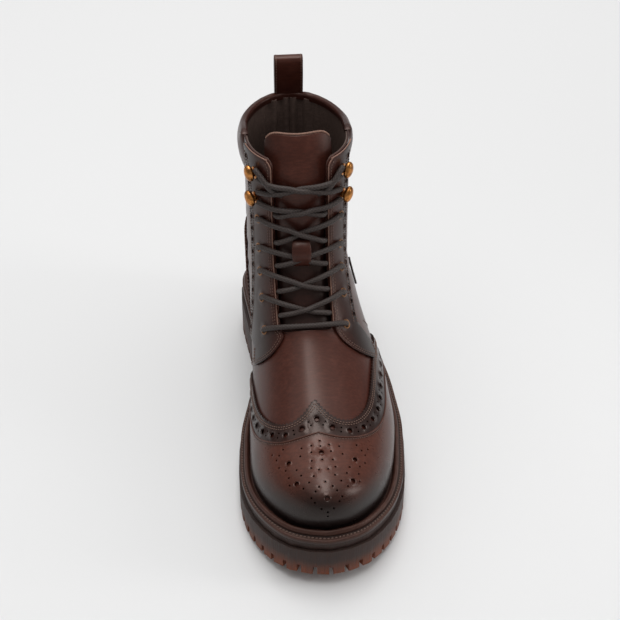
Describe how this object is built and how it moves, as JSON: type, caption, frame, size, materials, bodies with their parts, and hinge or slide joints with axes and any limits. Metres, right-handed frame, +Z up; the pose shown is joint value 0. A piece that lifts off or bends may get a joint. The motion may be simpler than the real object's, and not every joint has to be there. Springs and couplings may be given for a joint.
{
  "type": "ankle boot",
  "caption": "Left laced leather ankle boot with a pinked wing cap, derby facings with eyelets and speed hooks, a padded collar, a pull loop and a cleated rubber sole.",
  "frame": {"origin": "on the floor under the middle of the heel", "axes": "+Z up, the toe points along -Y, the outer (lateral) side of the foot is +X"},
  "size_m": [0.1198, 0.3074, 0.235],
  "materials": {
    "polished_leather": "polished dark reddish brown, burnished towards its seams",
    "burnished_leather": "polished, burnished almost black",
    "lining_leather": "matte dark grey brown",
    "welt_leather": "satin dark brown with a worn edge",
    "dark_rubber": "finely ribbed dark brown",
    "gum_rubber": "dark brown that turns to orange brown gum at the tread",
    "waxed_cord": "round waxed cord, dark grey",
    "woven_thread": "fine dark thread and woven tape",
    "antique_brass": "aged and lacquered"
  },
  "bodies": {
    "root": {"outsole": "gum_rubber", "midsole": "dark_rubber", "welt": "welt_leather", "insole": "lining_leather", "upper": "polished_leather", "wing_cap": "burnished_leather", "heel_counter": "polished_leather", "collar": "polished_leather", "tongue": "polished_leather", "lace_keeper": "polished_leather", "pull_loop": "polished_leather", "side_tab": "woven_thread", "facing_medial": "polished_leather", "facing_lateral": "polished_leather", "eyelet_medial_1": "antique_brass", "eyelet_medial_2": "antique_brass", "eyelet_medial_3": "antique_brass", "eyelet_medial_4": "antique_brass", "eyelet_medial_5": "antique_brass", "hook_medial_6": "antique_brass", "hook_medial_7": "antique_brass", "eyelet_lateral_1": "antique_brass", "eyelet_lateral_2": "antique_brass", "eyelet_lateral_3": "antique_brass", "eyelet_lateral_4": "antique_brass", "eyelet_lateral_5": "antique_brass", "hook_lateral_6": "antique_brass", "hook_lateral_7": "antique_brass", "lace_bar_1": "waxed_cord", "lace_cross_2": "waxed_cord", "lace_cross_3": "waxed_cord", "lace_cross_4": "waxed_cord", "lace_cross_5": "waxed_cord", "lace_cross_6": "waxed_cord", "lace_cross_7": "waxed_cord"}
  },
  "joints": []
}
